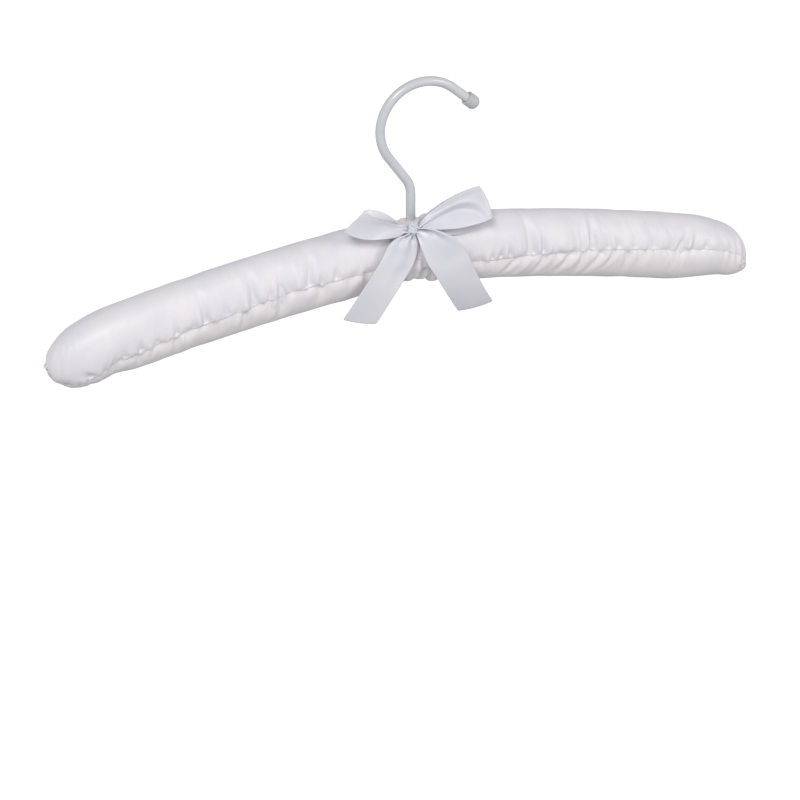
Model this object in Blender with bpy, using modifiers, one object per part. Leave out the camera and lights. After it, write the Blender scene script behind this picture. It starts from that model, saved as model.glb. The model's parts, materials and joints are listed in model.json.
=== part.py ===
"""Padded satin clothes hanger with a swivelling hook and a ribbon bow.

Metres, +Z up. X runs along the arms and -Y is the side with the bow. The origin is the point inside
the hook's top bend that rests on a rail. The hook swivels on a vertical axis through the core bar.
Every shape is worked out from the swivel centre, the middle of the core bar, and its objects hang
from an empty that stands there.
"""

import math

import bmesh
import bpy
from mathutils import Vector

# Arms, measured from the swivel centre to the outside of the satin
HALF_SPAN = 0.190
ARM_HALF_HEIGHT = 0.0180
ARM_HALF_DEPTH = 0.0141
DROP_STRAIGHT = 0.0158
DROP_CURVED = 0.0168
TIP_LENGTH = 0.055
TIP_POWER = 4.4
TIP_OPENING = 0.12
WAIST_PINCH = 0.14
WAIST_LENGTH = 0.011
WAIST_REACH = 0.024

# Core bar
CORE_HALF_SPAN = 0.172
CORE_HALF_HEIGHT = 0.0095
CORE_TIP_HALF_HEIGHT = 0.0070
CORE_THICKNESS = 0.012
CORE_EDGE = 0.0015

# Hook
WIRE_RADIUS = 0.0016
SLEEVE_BORE = 0.0019
SLEEVE_RADIUS = 0.0024
NECK_HEIGHT = 0.0292
NECK_RADIUS = 0.014
NECK_TURN = math.radians(36)
SLANT_LENGTH = 0.0152
RAIL_ARC_RADIUS = 0.0235
RAIL_ARC_TURN = math.radians(166)
ARC_STEP = math.radians(9)
CAP_START = 0.0090
CAP_LENGTH = 0.0076
CAP_RADIUS = 0.0036
CAP_DEPTH = 0.0045

# Swivel fastening
GAP = 0.0003
WASHER_THICKNESS = 0.0009
UPPER_WASHER_RADIUS = 0.0050
LOWER_WASHER_RADIUS = 0.0043
COUNTERBORE_RADIUS = 0.0047
COUNTERBORE_DEPTH = 0.0050
NUT_RADIUS = 0.0035
NUT_HEIGHT = 0.0024
NUT_EDGE = 0.0003
CUT_REACH = 0.020  # how far a cutter runs past what it cuts

# Soft parts
SATIN = 0.0005
PADDING_INSET = 0.0014
PADDING_START = 0.0055
PANEL_START = 0.0004
SEAM_HALF_GAP = 0.0008
SEAM_THREAD = 0.00035
GATHER_PLACE = 0.0058
GATHER_THREAD = 0.00035
TIP_KNOT_RING = 0.0011
TIP_KNOT_THREAD = 0.00035
FRONT_SEAM_LEFT = (-2, -8.5, -28)  # degrees round the arm at the neck, half way and the tip
FRONT_SEAM_RIGHT = (-24, 2, 11)

# Ribbon
RIBBON_WIDTH = 0.019
RIBBON = 0.0004
KNOT_CENTRE = Vector((-0.0026, -0.0108, 0.0148))
KNOT_HALF_SIZE = Vector((0.0034, 0.0024, 0.0036))
NECK_BAND_CENTRE = Vector((0.0, -0.0017, 0.0172))
NECK_BAND_HALF_WIDTH = 0.0040
NECK_BAND_HALF_DEPTH = 0.0056
NECK_BAND_CORD = 0.0008
LOOP_GATHER = 0.32  # share of the ribbon's width left where it is gathered into the knot
LOOP_SPREAD = 0.0011  # half the gap between a loop's two layers at the knot
LOOPS = {  # where each loop leaves the knot, its fold's two ends, and how far its layers bulge
    "right": {
        "root": Vector((0.0014, -0.0112, 0.0150)),
        "fold_top": Vector((0.0338, -0.0065, 0.0303)),
        "fold_bottom": Vector((0.0374, -0.0155, 0.0160)),
        "puffs": (0.0045, 0.0020),
    },
    "left": {
        "root": Vector((-0.0075, -0.0112, 0.0155)),
        "fold_top": Vector((-0.0263, -0.0040, 0.0252)),
        "fold_bottom": Vector((-0.0410, -0.0155, 0.0211)),
        "puffs": (0.0040, 0.0020),
    },
}
TAILS = {  # places along each tail's middle, each with the vector from there to its right edge
    "right": [
        (Vector((0.0006, -0.0125, 0.0098)), Vector((0.0020, 0.0, 0.0020))),
        (Vector((0.0080, -0.0155, 0.0040)), Vector((0.0070, 0.0, 0.0045))),
        (Vector((0.0170, -0.0175, -0.0100)), Vector((0.0085, 0.0, 0.0040))),
        (Vector((0.0275, -0.0190, -0.0284)), Vector((0.0093, 0.0, 0.0012))),
    ],
    "left": [
        (Vector((-0.0058, -0.0125, 0.0098)), Vector((0.0020, 0.0, -0.0020))),
        (Vector((-0.0105, -0.0155, 0.0030)), Vector((0.0062, 0.0, -0.0045))),
        (Vector((-0.0210, -0.0178, -0.0105)), Vector((0.0072, 0.0005, -0.0050))),
        (Vector((-0.0346, -0.0190, -0.0265)), Vector((0.0088, 0.0008, -0.0028))),
    ],
}

COLOURS = {
    "satin": ((0.86, 0.84, 0.87), 0.35, 0.0),
    "satin_lower": ((0.86, 0.84, 0.84), 0.35, 0.0),
    "ribbon": ((0.78, 0.78, 0.83), 0.30, 0.0),
    "thread": ((0.86, 0.85, 0.86), 0.60, 0.0),
    "hook_coating": ((0.80, 0.81, 0.83), 0.20, 0.0),
    "cap_plastic": ((0.68, 0.70, 0.69), 0.30, 0.0),
    "steel": ((0.62, 0.62, 0.64), 0.30, 1.0),
    "wood": ((0.72, 0.56, 0.38), 0.55, 0.0),
    "wadding": ((0.92, 0.92, 0.92), 0.95, 0.0),
}


def clear_scene():
    for obj in list(bpy.data.objects):
        bpy.data.objects.remove(obj, do_unlink=True)


def make_collection(name, hidden=False):
    collection = bpy.data.collections.new(name)
    collection.hide_render = hidden
    bpy.context.scene.collection.children.link(collection)
    return collection


def make_material(name):
    colour, roughness, metallic = COLOURS[name]
    material = bpy.data.materials.new(name)
    material.use_nodes = True
    shader = material.node_tree.nodes["Principled BSDF"]
    shader.inputs["Base Color"].default_value = (*colour, 1.0)
    shader.inputs["Roughness"].default_value = roughness
    shader.inputs["Metallic"].default_value = metallic
    material.diffuse_color = (*colour, 1.0)
    return material


clear_scene()
PARTS = make_collection("clothes_hanger")
CUTTERS = make_collection("hanger_cutters", hidden=True)
MATERIALS = {name: make_material(name) for name in COLOURS}


# Objects and modifiers


def add_part(name, data, material, parent):
    """Links an object for one piece, with its material, under one of the two empties."""
    obj = bpy.data.objects.new(name, data)
    PARTS.objects.link(obj)
    data.materials.append(MATERIALS[material])
    obj.parent = parent
    return obj


def add_cutter(name, data, parent):
    obj = bpy.data.objects.new(name, data)
    CUTTERS.objects.link(obj)
    obj.hide_render = True
    obj.display_type = "WIRE"
    obj.parent = parent
    return obj


def cut(obj, cutter):
    modifier = obj.modifiers.new("cut_" + cutter.name, "BOOLEAN")
    modifier.operation = "DIFFERENCE"
    modifier.object = cutter


def soften(obj, width, segments=2):
    modifier = obj.modifiers.new("rounded_edges", "BEVEL")
    modifier.width = width
    modifier.segments = segments
    modifier.limit_method = "ANGLE"


def thicken(obj, thickness):
    modifier = obj.modifiers.new("cloth_thickness", "SOLIDIFY")
    modifier.thickness = thickness
    modifier.offset = -1.0


def shade(mesh, angle=40):
    mesh.shade_smooth()
    mesh.set_sharp_from_angle(angle=math.radians(angle))


# Mesh makers


def mesh_from(name, shape):
    mesh = bpy.data.meshes.new(name)
    shape.to_mesh(mesh)
    shape.free()
    shade(mesh)
    return mesh


def mesh_of_curve(curve):
    """The curve's shape as a mesh with its caps welded on."""
    holder = bpy.data.objects.new(curve.name, curve)
    CUTTERS.objects.link(holder)
    bpy.context.view_layer.update()
    evaluated = holder.evaluated_get(bpy.context.evaluated_depsgraph_get())
    raw = bpy.data.meshes.new_from_object(evaluated)
    shape = bmesh.new()
    shape.from_mesh(raw)
    bmesh.ops.remove_doubles(shape, verts=shape.verts, dist=1e-6)
    bpy.data.objects.remove(holder)
    bpy.data.meshes.remove(raw)
    return mesh_from(curve.name, shape)


def tube(name, points, radius, closed=False, resolution=2):
    """A round wire or thread along the points."""
    curve = bpy.data.curves.new(name, "CURVE")
    curve.dimensions = "3D"
    curve.bevel_depth = radius
    curve.bevel_resolution = resolution
    curve.use_fill_caps = True
    spline = curve.splines.new("POLY")
    spline.points.add(len(points) - 1)
    for place, point in zip(spline.points, points):
        place.co = (*point, 1.0)
    spline.use_cyclic_u = closed
    return mesh_of_curve(curve)


def cylinder(name, radius, low, high, sides=32):
    shape = bmesh.new()
    bmesh.ops.create_cone(
        shape,
        cap_ends=True,
        segments=sides,
        radius1=radius,
        radius2=radius,
        depth=high - low,
    )
    bmesh.ops.translate(shape, verts=shape.verts, vec=(0.0, 0.0, (low + high) / 2))
    return mesh_from(name, shape)


def grid(name, columns, rows, place, flip=False, closed=False):
    """A sheet whose corners are (0, 0) to (1, 1), with each point moved to place(along, across).

    A closed sheet meets itself across its rows and gets a flat end at each side.
    """
    shape = bmesh.new()
    bmesh.ops.create_grid(shape, x_segments=columns, y_segments=rows, size=0.5)
    for vertex in shape.verts:
        vertex.co = place(vertex.co.x + 0.5, vertex.co.y + 0.5)
    if closed:
        bmesh.ops.remove_doubles(shape, verts=shape.verts, dist=1e-6)
        bmesh.ops.holes_fill(shape, edges=shape.edges, sides=0)
        bmesh.ops.recalc_face_normals(shape, faces=shape.faces)
    elif flip:
        bmesh.ops.reverse_faces(shape, faces=shape.faces)
    return mesh_from(name, shape)


def turned(name, profile, parent, material):
    """A body of revolution about Z from (radius, height) points that run down its outer side."""
    mesh = bpy.data.meshes.new(name)
    shape = bmesh.new()
    corners = [shape.verts.new((radius, 0.0, height)) for radius, height in profile]
    for first, second in zip(corners, corners[1:]):
        shape.edges.new((first, second))
    if profile[0][0] > 0:
        shape.edges.new((corners[-1], corners[0]))
    shape.to_mesh(mesh)
    shape.free()
    obj = add_part(name, mesh, material, parent)
    screw = obj.modifiers.new("turn", "SCREW")
    screw.steps = 32
    screw.render_steps = 32
    screw.use_merge_vertices = True
    screw.merge_threshold = 0.00001
    screw.use_smooth_shade = True
    return obj


# The arms' shape


def arm_centre_height(distance):
    """Height of an arm's centre line at a distance from the swivel axis."""
    share = distance / HALF_SPAN
    return -(DROP_STRAIGHT * share + DROP_CURVED * share**2)


def arm_fullness(distance, inset=0.0):
    """How full an arm's section is: pinched at the waist and rounding off at the tip."""
    start = HALF_SPAN - TIP_LENGTH
    run = max(0.0, distance - start) / (TIP_LENGTH - inset)
    rounding = math.sqrt(max(0.0, 1.0 - run**TIP_POWER))
    waist = 1.0 - WAIST_PINCH * math.exp(-((distance / WAIST_LENGTH) ** 2))
    return rounding * waist


def arm_station(along, first, inset=0.0):
    """Distance from the swivel axis for a share along the arm, closer together at waist and tip."""
    waist_share, straight_share = 0.22, 0.52
    start = HALF_SPAN - TIP_LENGTH
    if along < waist_share:
        return first + (WAIST_REACH - first) * along / waist_share
    if along < straight_share:
        share = (along - waist_share) / (straight_share - waist_share)
        return WAIST_REACH + (start - WAIST_REACH) * share
    turn = (along - straight_share) / (1.0 - straight_share) * math.acos(TIP_OPENING)
    return start + (TIP_LENGTH - inset) * math.sin(turn) ** (2.0 / TIP_POWER)


def arm_point(side, distance, angle, inset=0.0):
    """A point on an arm's skin. The angle is 0 at the front and a quarter turn at the top."""
    fullness = arm_fullness(distance, inset)
    depth = (ARM_HALF_DEPTH - inset) * fullness
    height = (ARM_HALF_HEIGHT - inset) * fullness
    return Vector(
        (
            side * distance,
            -depth * math.cos(angle),
            arm_centre_height(distance) + height * math.sin(angle),
        )
    )


def front_seam(side, distance):
    """Angle of the front seam, which wanders along the arm on a parabola through three angles."""
    near, middle, far = FRONT_SEAM_LEFT if side < 0 else FRONT_SEAM_RIGHT
    share = distance / HALF_SPAN
    degrees = (
        near * (1 - share) * (1 - 2 * share)
        + middle * 4 * share * (1 - share)
        + far * share * (2 * share - 1)
    )
    return math.radians(degrees)


def side_name(side):
    return "left" if side < 0 else "right"


# Core bar and padding


def bar_mesh(name, half_span, first_half_height, last_half_height, thickness):
    """A flat bar that follows the arms' centre line, with round ends."""
    count = 12
    end_steps = 4
    upper = []
    for index in range(count + 1):
        share = index / count
        distance = share * (half_span - last_half_height)
        half_height = first_half_height + (last_half_height - first_half_height) * share
        upper.append((distance, arm_centre_height(distance), half_height))
    tip_distance, tip_height, tip_half = upper[-1]
    outline = [(x, z + half) for x, z, half in upper]
    for step in range(1, end_steps):
        angle = math.pi / 2 - math.pi * step / end_steps
        outline.append(
            (tip_distance + tip_half * math.cos(angle), tip_height + tip_half * math.sin(angle))
        )
    outline += [(x, z - half) for x, z, half in reversed(upper)]
    outline += [(-x, z) for x, z in reversed(outline) if x > 0]
    curve = bpy.data.curves.new(name, "CURVE")
    curve.dimensions = "2D"
    curve.fill_mode = "BOTH"
    curve.extrude = thickness / 2
    spline = curve.splines.new("POLY")
    spline.points.add(len(outline) - 1)
    for place, (x, z) in zip(spline.points, outline):
        place.co = (x, z, 0.0, 1.0)
    spline.use_cyclic_u = True
    return mesh_of_curve(curve)


def make_core(parent):
    mesh = bar_mesh(
        "core_bar", CORE_HALF_SPAN, CORE_HALF_HEIGHT, CORE_TIP_HALF_HEIGHT, CORE_THICKNESS
    )
    core = add_part("core_bar", mesh, "wood", parent)
    core.rotation_euler.x = math.pi / 2
    soften(core, CORE_EDGE)
    bore = cylinder("swivel_bore", WIRE_RADIUS + GAP, -CUT_REACH, CUT_REACH)
    cut(core, add_cutter("swivel_bore", bore, parent))
    ceiling = COUNTERBORE_DEPTH - CORE_HALF_HEIGHT
    recess = cylinder("nut_recess", COUNTERBORE_RADIUS, -CUT_REACH, ceiling)
    cut(core, add_cutter("nut_recess", recess, parent))


def make_channel(parent):
    """The space for the core bar inside both paddings."""
    mesh = bar_mesh(
        "core_channel",
        CORE_HALF_SPAN + GAP,
        CORE_HALF_HEIGHT + GAP,
        CORE_TIP_HALF_HEIGHT + GAP,
        CORE_THICKNESS + 2 * GAP,
    )
    channel = add_cutter("core_channel", mesh, parent)
    channel.rotation_euler.x = math.pi / 2
    return channel


def make_padding(side, channel, parent):
    def place(along, across):
        distance = arm_station(along, PADDING_START, PADDING_INSET)
        return arm_point(side, distance, across * math.tau, PADDING_INSET)

    name = "padding_" + side_name(side)
    mesh = grid(name, 18, 20, place, closed=True)
    padding = add_part(name, mesh, "wadding", parent)
    cut(padding, channel)


# Satin covers and their threads


def panel_angle(side, distance, across, upper):
    """Angle round the arm for a share across one panel, clear of the seams by their half gap."""
    fullness = arm_fullness(distance)
    clear = SEAM_HALF_GAP / (ARM_HALF_DEPTH * fullness)
    front = front_seam(side, distance)
    back = math.pi
    if upper:
        return front + clear + (back - front - 2 * clear) * across
    return back + clear + (front + math.tau - back - 2 * clear) * across


def make_panel(side, upper, parent):
    def place(along, across):
        distance = arm_station(along, PANEL_START)
        return arm_point(side, distance, panel_angle(side, distance, across, upper))

    name = ("cover_upper_" if upper else "cover_lower_") + side_name(side)
    mesh = grid(name, 24, 10, place, flip=side < 0)
    panel = add_part(name, mesh, "satin" if upper else "satin_lower", parent)
    thicken(panel, SATIN)
    return panel


def make_seam_thread(side, parent):
    """One thread along the front seam, round the tip and back along the rear seam."""
    shares = [index / 20 for index in range(21)]
    distances = [arm_station(share, GATHER_PLACE + 0.002) for share in shares]
    points = [arm_point(side, distance, front_seam(side, distance)) for distance in distances]
    tip = Vector((side * (HALF_SPAN + SEAM_THREAD), 0.0, arm_centre_height(HALF_SPAN)))
    points.append(tip)
    points += [arm_point(side, distance, math.pi) for distance in reversed(distances)]
    name = "seam_thread_" + side_name(side)
    add_part(name, tube(name, points, SEAM_THREAD, resolution=1), "thread", parent)


def make_gather_thread(side, parent):
    """A thread drawn round the cover beside the shank."""
    steps = 28
    outset = -(GATHER_THREAD + 2 * GAP)
    points = [
        arm_point(side, GATHER_PLACE, math.tau * step / steps, outset) for step in range(steps)
    ]
    name = "gather_thread_" + side_name(side)
    mesh = tube(name, points, GATHER_THREAD, closed=True, resolution=1)
    add_part(name, mesh, "thread", parent)


def make_tip_knot(side, parent):
    """A ring of thread that closes the tip, standing just outside the seam thread."""
    name = "tip_knot_" + side_name(side)
    distance = HALF_SPAN + 2 * SEAM_THREAD + GAP + TIP_KNOT_THREAD
    steps = 16
    points = [
        Vector(
            (
                side * distance,
                TIP_KNOT_RING * math.cos(math.tau * step / steps),
                arm_centre_height(HALF_SPAN) + TIP_KNOT_RING * math.sin(math.tau * step / steps),
            )
        )
        for step in range(steps)
    ]
    mesh = tube(name, points, TIP_KNOT_THREAD, closed=True, resolution=1)
    add_part(name, mesh, "thread", parent)


# Hook


def hook_path(foot, tip_run):
    """Points along the hook's centre line from the foot's height to tip_run past the rail arc."""
    moves = (
        (NECK_HEIGHT - foot, 0.0),
        (NECK_RADIUS * NECK_TURN, NECK_TURN),
        (SLANT_LENGTH, 0.0),
        (RAIL_ARC_RADIUS * RAIL_ARC_TURN, -RAIL_ARC_TURN),
        (tip_run, 0.0),
    )
    x, z, lean = 0.0, foot, 0.0
    points = [Vector((x, 0.0, z))]
    for length, turn in moves:
        steps = max(1, math.ceil(abs(turn) / ARC_STEP))
        step_turn = turn / steps
        chord = length / steps
        if turn:
            chord *= math.sin(abs(step_turn) / 2) / (abs(step_turn) / 2)
        for _ in range(steps):
            lean += step_turn / 2
            x -= chord * math.sin(lean)
            z += chord * math.cos(lean)
            lean += step_turn / 2
            points.append(Vector((x, 0.0, z)))
    return points


def swivel_centre():
    """Where the swivel centre stands when the hook's seat on the rail is at the origin."""
    across = Vector((math.cos(NECK_TURN), 0.0, math.sin(NECK_TURN)))
    along = Vector((-math.sin(NECK_TURN), 0.0, math.cos(NECK_TURN)))
    neck_centre = Vector((-NECK_RADIUS, 0.0, NECK_HEIGHT))
    arc_centre = neck_centre + across * (NECK_RADIUS + RAIL_ARC_RADIUS) + along * SLANT_LENGTH
    return -(arc_centre + Vector((0.0, 0.0, RAIL_ARC_RADIUS - SLEEVE_RADIUS)))


def sleeve_foot():
    return CORE_HALF_HEIGHT + WASHER_THICKNESS + 2 * GAP


def make_hook(parent):
    wire_foot = COUNTERBORE_DEPTH - CORE_HALF_HEIGHT - WASHER_THICKNESS - 3 * GAP - NUT_HEIGHT
    wire_path = hook_path(wire_foot, CAP_START + CAP_DEPTH - 2 * GAP)
    wire = tube("hook_wire", wire_path, WIRE_RADIUS)
    add_part("hook_wire", wire, "steel", parent)

    sleeve_path = hook_path(sleeve_foot(), CAP_START + CAP_DEPTH - GAP)
    coating = tube("hook_sleeve", sleeve_path, SLEEVE_RADIUS, resolution=3)
    sleeve = add_part("hook_sleeve", coating, "hook_coating", parent)
    past_end = 0.002
    bore_path = hook_path(sleeve_foot() - past_end, CAP_START + CAP_DEPTH + past_end)
    bore = tube("sleeve_bore", bore_path, SLEEVE_BORE)
    cut(sleeve, add_cutter("sleeve_bore", bore, parent))


def make_cap(parent):
    """A domed cap whose open end takes the sleeve's end."""
    dome_start = CAP_LENGTH - CAP_RADIUS
    steps = 6
    profile = [
        (
            CAP_RADIUS * math.sin(math.pi / 2 * step / steps),
            dome_start + CAP_RADIUS * math.cos(math.pi / 2 * step / steps),
        )
        for step in range(steps + 1)
    ]
    bore = SLEEVE_RADIUS + GAP
    profile += [
        (CAP_RADIUS, GAP),
        (CAP_RADIUS - GAP, 0.0),
        (bore, 0.0),
        (bore, CAP_DEPTH),
        (0.0, CAP_DEPTH),
    ]
    cap = turned("hook_tip_cap", profile, parent, "cap_plastic")
    cap.location = hook_path(0.0, CAP_START)[-1]
    cap.rotation_euler.y = RAIL_ARC_TURN - NECK_TURN


def ring_profile(inner, outer, low, high):
    edge = (high - low) / 5
    return [
        (inner, high),
        (outer - edge, high),
        (outer, high - edge),
        (outer, low + edge),
        (outer - edge, low),
        (inner, low),
    ]


def make_fastening(hook, arms):
    bore = WIRE_RADIUS + GAP
    low = CORE_HALF_HEIGHT + GAP
    profile = ring_profile(bore, UPPER_WASHER_RADIUS, low, low + WASHER_THICKNESS)
    turned("upper_washer", profile, arms, "steel")

    high = COUNTERBORE_DEPTH - CORE_HALF_HEIGHT - GAP
    profile = ring_profile(bore, LOWER_WASHER_RADIUS, high - WASHER_THICKNESS, high)
    turned("lower_washer", profile, arms, "steel")

    top = high - WASHER_THICKNESS - GAP
    nut_mesh = cylinder("retaining_nut", NUT_RADIUS, top - NUT_HEIGHT, top, sides=6)
    nut = add_part("retaining_nut", nut_mesh, "steel", hook)
    soften(nut, NUT_EDGE, segments=1)
    hole = cylinder("nut_bore", bore, top - 2 * NUT_HEIGHT, top + NUT_HEIGHT)
    cut(nut, add_cutter("nut_bore", hole, hook))


# Ribbon bow


def strip(name, columns, rows, place, parent):
    ribbon = add_part(name, grid(name, columns, rows, place), "ribbon", parent)
    thicken(ribbon, RIBBON)


def smooth_step(share):
    share = min(1.0, max(0.0, share))
    return share * share * (3 - 2 * share)


def make_loop(side, root, fold_top, fold_bottom, puffs, parent):
    """A ribbon loop from the knot out to its fold and back, gathered where it meets the knot.

    The puffs are how far its front and its rear layer bulge.
    """
    fold = (fold_top + fold_bottom) / 2
    reach = fold - root
    width = (fold_bottom - fold_top).normalized()
    normal = reach.cross(width).normalized()
    if normal.y > 0:
        normal.negate()

    def place(along, across):
        turn = math.tau * along
        outward = (1 - math.cos(turn)) / 2
        gather = LOOP_GATHER + (1 - LOOP_GATHER) * smooth_step(outward * 1.8)
        puff = puffs[0] if along < 0.5 else puffs[1]
        bulge = puff * math.sin(turn) * (0.35 + 0.65 * outward)
        spread = LOOP_SPREAD * math.cos(turn / 2)
        offset = (across - 0.5) * RIBBON_WIDTH * gather
        return root + reach * outward + width * offset + normal * (bulge + spread)

    strip("ribbon_loop_" + side, 24, 4, place, parent)


def between(stations, share):
    """Point on a smooth curve through the stations."""
    last = len(stations) - 1
    index = min(int(share * last), last - 1)
    t = share * last - index
    before = stations[max(index - 1, 0)]
    first = stations[index]
    second = stations[index + 1]
    after = stations[min(index + 2, last)]
    return (
        first
        + (second - before) * (t / 2)
        + (before * 2 - first * 5 + second * 4 - after) * (t * t / 2)
        + (first * 3 - before - second * 3 + after) * (t**3 / 2)
    )


def make_tail(side, stations, parent):
    centres, half_widths = zip(*stations)

    def place(along, across):
        return between(centres, along) + between(half_widths, along) * (2 * across - 1)

    strip("ribbon_tail_" + side, 12, 4, place, parent)


def make_neck_band(parent):
    """The ribbon's crumpled turn round the shank, level with the top of the cover."""
    steps = 24
    turns = [math.tau * step / steps for step in range(steps)]
    points = [
        NECK_BAND_CENTRE
        + Vector(
            (NECK_BAND_HALF_WIDTH * math.sin(turn), NECK_BAND_HALF_DEPTH * math.cos(turn), 0.0)
        )
        for turn in turns
    ]
    mesh = tube("ribbon_neck_band", points, NECK_BAND_CORD, closed=True)
    add_part("ribbon_neck_band", mesh, "ribbon", parent)


def make_knot(parent):
    shape = bmesh.new()
    bmesh.ops.create_cube(shape, size=2.0)
    bmesh.ops.scale(shape, verts=shape.verts, vec=KNOT_HALF_SIZE)
    bmesh.ops.translate(shape, verts=shape.verts, vec=KNOT_CENTRE)
    knot = add_part("ribbon_knot", mesh_from("ribbon_knot", shape), "ribbon", parent)
    rounding = knot.modifiers.new("rounding", "SUBSURF")
    rounding.levels = 3
    rounding.render_levels = 3


def make_bow(parent):
    make_neck_band(parent)
    make_knot(parent)
    for side, shape in LOOPS.items():
        make_loop(side, parent=parent, **shape)
    for side, stations in TAILS.items():
        make_tail(side, stations, parent)


def make_empty(name, location):
    empty = bpy.data.objects.new(name, None)
    empty.empty_display_size = 0.01
    empty.location = location
    PARTS.objects.link(empty)
    return empty


def main():
    centre = swivel_centre()
    arms = make_empty("arms", centre)
    hook = make_empty("hook", centre)

    make_core(arms)
    channel = make_channel(arms)
    shank_hole = cylinder("shank_hole", SLEEVE_RADIUS + GAP, CORE_HALF_HEIGHT, NECK_HEIGHT)
    shank_cutter = add_cutter("shank_hole", shank_hole, arms)
    for side in (-1, 1):
        make_padding(side, channel, arms)
        cut(make_panel(side, True, arms), shank_cutter)
        make_panel(side, False, arms)
        make_seam_thread(side, arms)
        make_gather_thread(side, arms)
        make_tip_knot(side, arms)
    make_hook(hook)
    make_cap(hook)
    make_fastening(hook, arms)
    make_bow(arms)


main()
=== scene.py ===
"""Looks of the padded satin clothes hanger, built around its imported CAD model.

Metres, +Z up, in the CAD's own frame. X runs along the arms and -Y is the side with the bow. Shapes
are worked out from the swivel centre, which is the place of the hook's joint, the way the CAD does.
"""

import json
import math
import random

import bmesh
import bpy
import numpy as np
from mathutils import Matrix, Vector, noise


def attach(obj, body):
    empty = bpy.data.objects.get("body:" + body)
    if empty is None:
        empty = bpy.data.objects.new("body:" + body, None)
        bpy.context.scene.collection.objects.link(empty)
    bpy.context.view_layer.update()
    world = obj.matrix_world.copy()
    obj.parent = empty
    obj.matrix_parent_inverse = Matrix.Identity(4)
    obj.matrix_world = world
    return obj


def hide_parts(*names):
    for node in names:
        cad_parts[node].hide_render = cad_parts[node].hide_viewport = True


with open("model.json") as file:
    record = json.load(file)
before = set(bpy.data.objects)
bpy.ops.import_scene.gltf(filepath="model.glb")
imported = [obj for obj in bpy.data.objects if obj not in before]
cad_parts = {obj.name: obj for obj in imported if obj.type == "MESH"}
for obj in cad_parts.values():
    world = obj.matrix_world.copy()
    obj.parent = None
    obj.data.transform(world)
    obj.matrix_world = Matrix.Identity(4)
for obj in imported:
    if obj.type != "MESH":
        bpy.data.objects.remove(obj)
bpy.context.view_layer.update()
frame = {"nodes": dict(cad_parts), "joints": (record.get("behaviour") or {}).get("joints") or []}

CENTRE = Vector(frame["joints"][0]["pos_m"])
SIDES = {-1: "left", 1: "right"}

# Arms, as in the CAD: measured from the swivel centre to the outside of the satin
HALF_SPAN = 0.190
ARM_HALF_HEIGHT = 0.0180
ARM_HALF_DEPTH = 0.0141
DROP_STRAIGHT = 0.0158
DROP_CURVED = 0.0168
TIP_LENGTH = 0.055
TIP_POWER = 4.4
WAIST_PINCH = 0.14
WAIST_LENGTH = 0.011
GATHER_PLACE = 0.0058

# Satin covers
CLOTH_STEP = 0.0010
COLUMNS_UPPER = 38
COLUMNS_LOWER = 34
COVER_START = 0.00002
TIP_RING = 0.06  # share of the full section where the cover is drawn shut
TIP_CLOSED = 0.05
SATIN = 0.0003
SEAM_DIP = 0.0004
SEAM_DIP_WIDTH = 0.0026
SEAM_WANDER = 0.0006
PUCKER = 0.0021
PUCKER_REACH = 0.0050
FOLD_GAIN = {True: 1.7, False: 1.25}  # upper and lower panels
SLACK = 0.00014
REPRESS = 0.6  # share of each fold pressed in again after the cloth has swelled
SEAM_ALLOWANCE = 0.0007
TURN_IN = 0.14  # how far the cover's end closes in round the shank
SHANK_CLEAR = 0.0032
MOST_SWELL = 0.0011
SIM_FRAMES = 24
CLOTH_SETTINGS = dict(
    quality=7,
    mass=0.12,
    tension_stiffness=20,
    compression_stiffness=20,
    shear_stiffness=6,
    bending_stiffness=0.7,
    air_damping=2,
    use_pressure=True,
    uniform_pressure_force=2.5,
)
GIRTH_SLACK = 1.03  # the cloth's own width over the sleeve's
GATHER = {-1: 1.12, 1: 1.18}  # the cloth's own length over the seam's, left and right

# Ribbon
RIBBON_WIDTH = 0.019
RIBBON = 0.00032

# Hook
SLEEVE_RADIUS = 0.0024
NECK_HEIGHT = 0.0292
NECK_RADIUS = 0.014
NECK_TURN = math.radians(36)
SLANT_LENGTH = 0.0152
RAIL_ARC_RADIUS = 0.0235
RAIL_ARC_TURN = math.radians(166)
CAP_START = 0.0090
CAP_LENGTH = 0.0076
CAP_RADIUS = 0.0036
CAP_DEPTH = 0.0045
SLEEVE_FOOT = 0.0110
HOOK_TURN_STEP = math.radians(3)


def mm(*values):
    """A vector given in millimetres."""
    return Vector(values) / 1000


def smooth(share):
    """0 below 0, 1 above 1 and a soft step between."""
    share = min(1.0, max(0.0, share))
    return share * share * (3 - 2 * share)


def hump(value, centre, width):
    """A bell curve of height 1."""
    return math.exp(-(((value - centre) / width) ** 2))


def ripple(*place):
    """Smooth noise from -1 to 1 at a place given in wavelengths."""
    return noise.noise(Vector((*place, 0.0, 0.0)[:3]))


# Materials


def add_node(tree, kind, settings=None, **inputs):
    """A shader node with its settings; an input is a value or the socket that feeds it."""
    made = tree.nodes.new(kind)
    for name, value in (settings or {}).items():
        setattr(made, name, value)
    for name, value in inputs.items():
        socket = made.inputs[int(name[1:])] if name[0] == "_" else made.inputs[name]
        if isinstance(value, bpy.types.NodeSocket):
            tree.links.new(value, socket)
        else:
            socket.default_value = value
    return made


def new_material(name, **constants):
    """A Principled material and its tree and shader; the constants are set on the shader itself."""
    material = bpy.data.materials.new(name)
    material.use_nodes = True
    tree = material.node_tree
    shader = tree.nodes["Principled BSDF"]
    for socket, value in constants.items():
        shader.inputs[socket.replace("_", " ")].default_value = value
    return material, tree, shader


def paint(tree, shader, factor, first, second):
    """Mixes the base colour from two colours: the first where the factor is 0."""
    mix = add_node(tree, "ShaderNodeMix", {"data_type": "RGBA"}, _0=factor)
    mix.inputs[6].default_value = (*first, 1.0)
    mix.inputs[7].default_value = (*second, 1.0)
    tree.links.new(mix.outputs[2], shader.inputs["Base Color"])


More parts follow.
